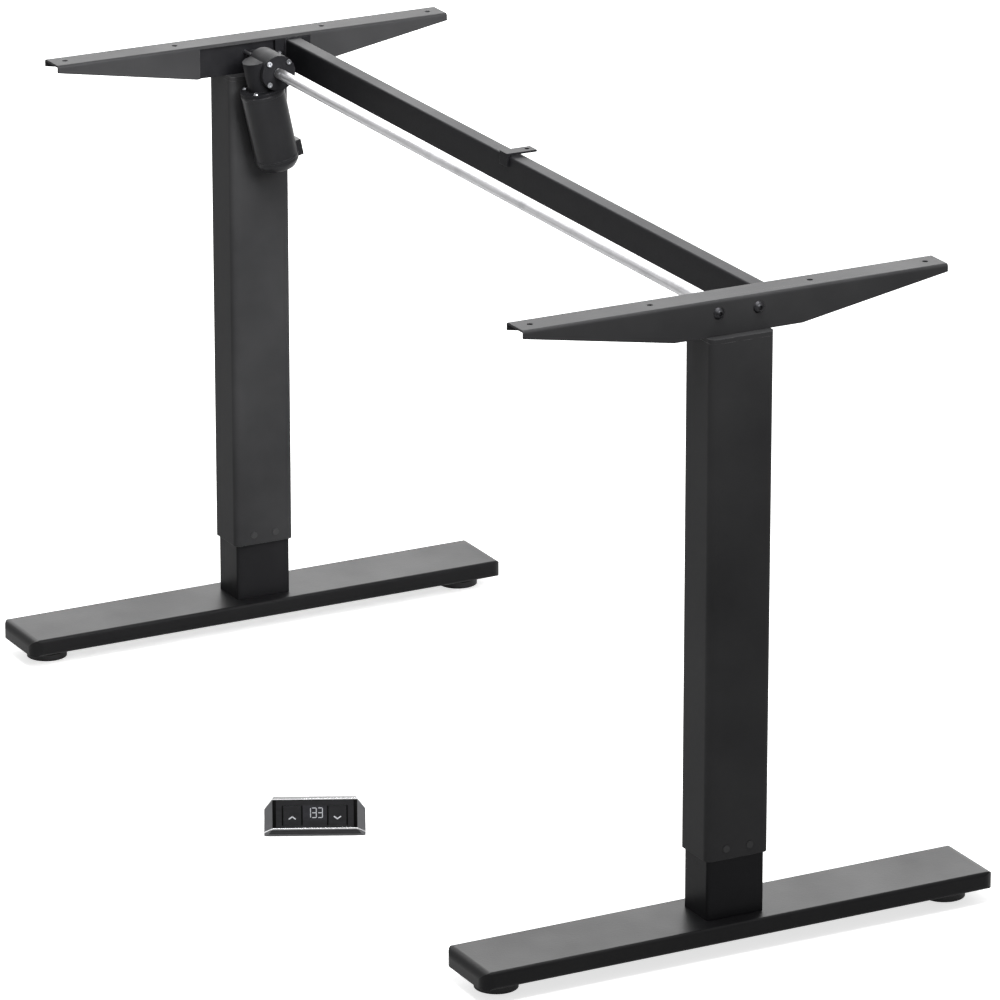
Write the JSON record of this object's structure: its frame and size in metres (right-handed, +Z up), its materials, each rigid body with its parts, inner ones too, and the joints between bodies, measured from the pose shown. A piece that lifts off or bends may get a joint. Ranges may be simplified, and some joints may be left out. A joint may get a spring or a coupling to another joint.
{
  "type": "standing desk frame",
  "caption": "Height-adjustable desk frame: lifting columns on long feet, tapered side brackets, crossbeam, hexagonal drive rod, hanging motor and a separate button handset.",
  "frame": {"origin": "on the floor at the centre of the frame, midway between the legs and midway along the feet", "axes": "+X from the motor leg to the other leg, +Y along the feet towards the crossbeam side, +Z up"},
  "size_m": [1.296, 0.656, 0.76],
  "materials": {
    "foot_coat": "matt black powder coat",
    "inner_coat": "matt black powder coat",
    "column_coat": "matt black powder coat",
    "bracket_coat": "matt black powder coat",
    "beam_coat": "matt black powder coat",
    "bare_steel": "mill finish",
    "zinc_screws": "bright zinc",
    "black_bolts": "black oxide",
    "liner_plastic": "black acetal",
    "bronze": "machined bronze",
    "bright_steel": "rolled thread, lightly greased",
    "bearing_steel": "ground steel",
    "rod_steel": "bright drawn steel",
    "glide_plastic": "black moulded nylon",
    "pin_plastic": "black moulded plastic",
    "housing_cast": "black painted casting",
    "motor_coat": "black painted steel can",
    "handset_shell": "fine-textured dark grey plastic",
    "gloss_panel": "glossy black acrylic",
    "display_window": "smoked acrylic window",
    "chrome_trim": "polished chrome",
    "board_green": "glass-fibre circuit board"
  },
  "bodies": {
    "left_base": {"left_foot": "foot_coat", "left_foot_plate": "bare_steel", "left_foot_bolts": "zinc_screws", "left_inner_tube": "inner_coat", "left_column_base": "bare_steel", "left_slide_shoe": "liner_plastic", "left_nut_carrier": "bare_steel", "left_spindle_nut": "bronze"},
    "top_frame": {"left_outer_tube": "column_coat", "left_guide_collar": "liner_plastic", "left_head_plate": "column_coat", "left_gear_housing": "housing_cast", "left_bracket": "bracket_coat", "right_outer_tube": "column_coat", "right_guide_collar": "liner_plastic", "right_head_plate": "column_coat", "right_gear_housing": "housing_cast", "right_bracket": "bracket_coat", "guide_pins": "pin_plastic", "housing_bolts": "zinc_screws", "bracket_bolts": "black_bolts", "spindle_bearings": "bearing_steel", "crossbeam": "beam_coat", "beam_end_plates": "beam_coat", "beam_bolts": "black_bolts", "beam_tab": "beam_coat", "rod_bearings": "bearing_steel", "gearbox": "housing_cast", "gearbox_cover": "housing_cast", "gearbox_screws": "zinc_screws", "worm": "bright_steel", "motor": "motor_coat"},
    "right_base": {"right_foot": "foot_coat", "right_foot_plate": "bare_steel", "right_foot_bolts": "zinc_screws", "right_inner_tube": "inner_coat", "right_column_base": "bare_steel", "right_slide_shoe": "liner_plastic", "right_nut_carrier": "bare_steel", "right_spindle_nut": "bronze"},
    "left_screw": {"left_spindle": "bright_steel", "left_spindle_gear": "bearing_steel"},
    "right_screw": {"right_spindle": "bright_steel", "right_spindle_gear": "bearing_steel"},
    "drive_shaft": {"drive_rod": "rod_steel", "rod_sleeve": "rod_steel", "rod_gears": "bearing_steel", "worm_wheel": "bearing_steel"},
    "left_front_glide": {"left_front_glide": "glide_plastic"},
    "left_back_glide": {"left_back_glide": "glide_plastic"},
    "right_front_glide": {"right_front_glide": "glide_plastic"},
    "right_back_glide": {"right_back_glide": "glide_plastic"},
    "handset": {"handset_case": "handset_shell", "handset_base": "handset_shell", "handset_panel": "gloss_panel", "handset_trim": "chrome_trim", "handset_window": "display_window", "handset_board": "board_green", "handset_screws": "zinc_screws"},
    "up_button": {"up_button": "gloss_panel"},
    "down_button": {"down_button": "gloss_panel"}
  },
  "joints": [
    {"name": "left_lift", "type": "slide", "parent": "left_base", "child": "top_frame", "axis": [0, 0, 1], "range_m": [-0.05, 0.44]},
    {"name": "right_lift", "type": "slide", "parent": "top_frame", "child": "right_base", "axis": [0, 0, -1], "range_m": [-0.0501, 0.4401]},
    {"name": "left_screw_turn", "type": "hinge", "parent": "top_frame", "child": "left_screw", "pos_m": [-0.6, 0, 0.5], "axis": [0, 0, 1], "range_deg": [-4501, 39601]},
    {"name": "right_screw_turn", "type": "hinge", "parent": "top_frame", "child": "right_screw", "pos_m": [0.6, 0, 0.5], "axis": [0, 0, 1], "range_deg": [-39601, 4501]},
    {"name": "drive_rod_turn", "type": "hinge", "parent": "top_frame", "child": "drive_shaft", "pos_m": [0, 0, 0.733], "axis": [1, 0, 0], "range_deg": [-4501, 39601]},
    {"name": "left_front_glide_screw", "type": "slide", "parent": "left_base", "child": "left_front_glide", "axis": [0, 0, -1], "range_m": [0, 0.008]},
    {"name": "left_back_glide_screw", "type": "slide", "parent": "left_base", "child": "left_back_glide", "axis": [0, 0, -1], "range_m": [0, 0.008]},
    {"name": "right_front_glide_screw", "type": "slide", "parent": "right_base", "child": "right_front_glide", "axis": [0, 0, -1], "range_m": [0, 0.008]},
    {"name": "right_back_glide_screw", "type": "slide", "parent": "right_base", "child": "right_back_glide", "axis": [0, 0, -1], "range_m": [0, 0.008]},
    {"name": "handset_set_down", "type": "slide", "parent": "left_base", "child": "handset", "axis": [0, 0, 1], "range_m": [0, 0.25]},
    {"name": "up_button_press", "type": "slide", "parent": "handset", "child": "up_button", "axis": [-0.8498, 0.4145, -0.3256], "range_m": [0, 0.0008], "stiffness_N_per_m": 1500, "springref_m": -0.0008},
    {"name": "down_button_press", "type": "slide", "parent": "handset", "child": "down_button", "axis": [-0.8498, 0.4145, -0.3256], "range_m": [0, 0.0008], "stiffness_N_per_m": 1500, "springref_m": -0.0008}
  ],
  "couplings": [
    {"joint": "right_lift", "follows": "left_lift", "ratio": 1},
    {"joint": "left_screw_turn", "follows": "left_lift", "rad_per_m": 1570.8},
    {"joint": "right_screw_turn", "follows": "left_lift", "rad_per_m": -1570.8},
    {"joint": "drive_rod_turn", "follows": "left_lift", "rad_per_m": 1570.8}
  ]
}
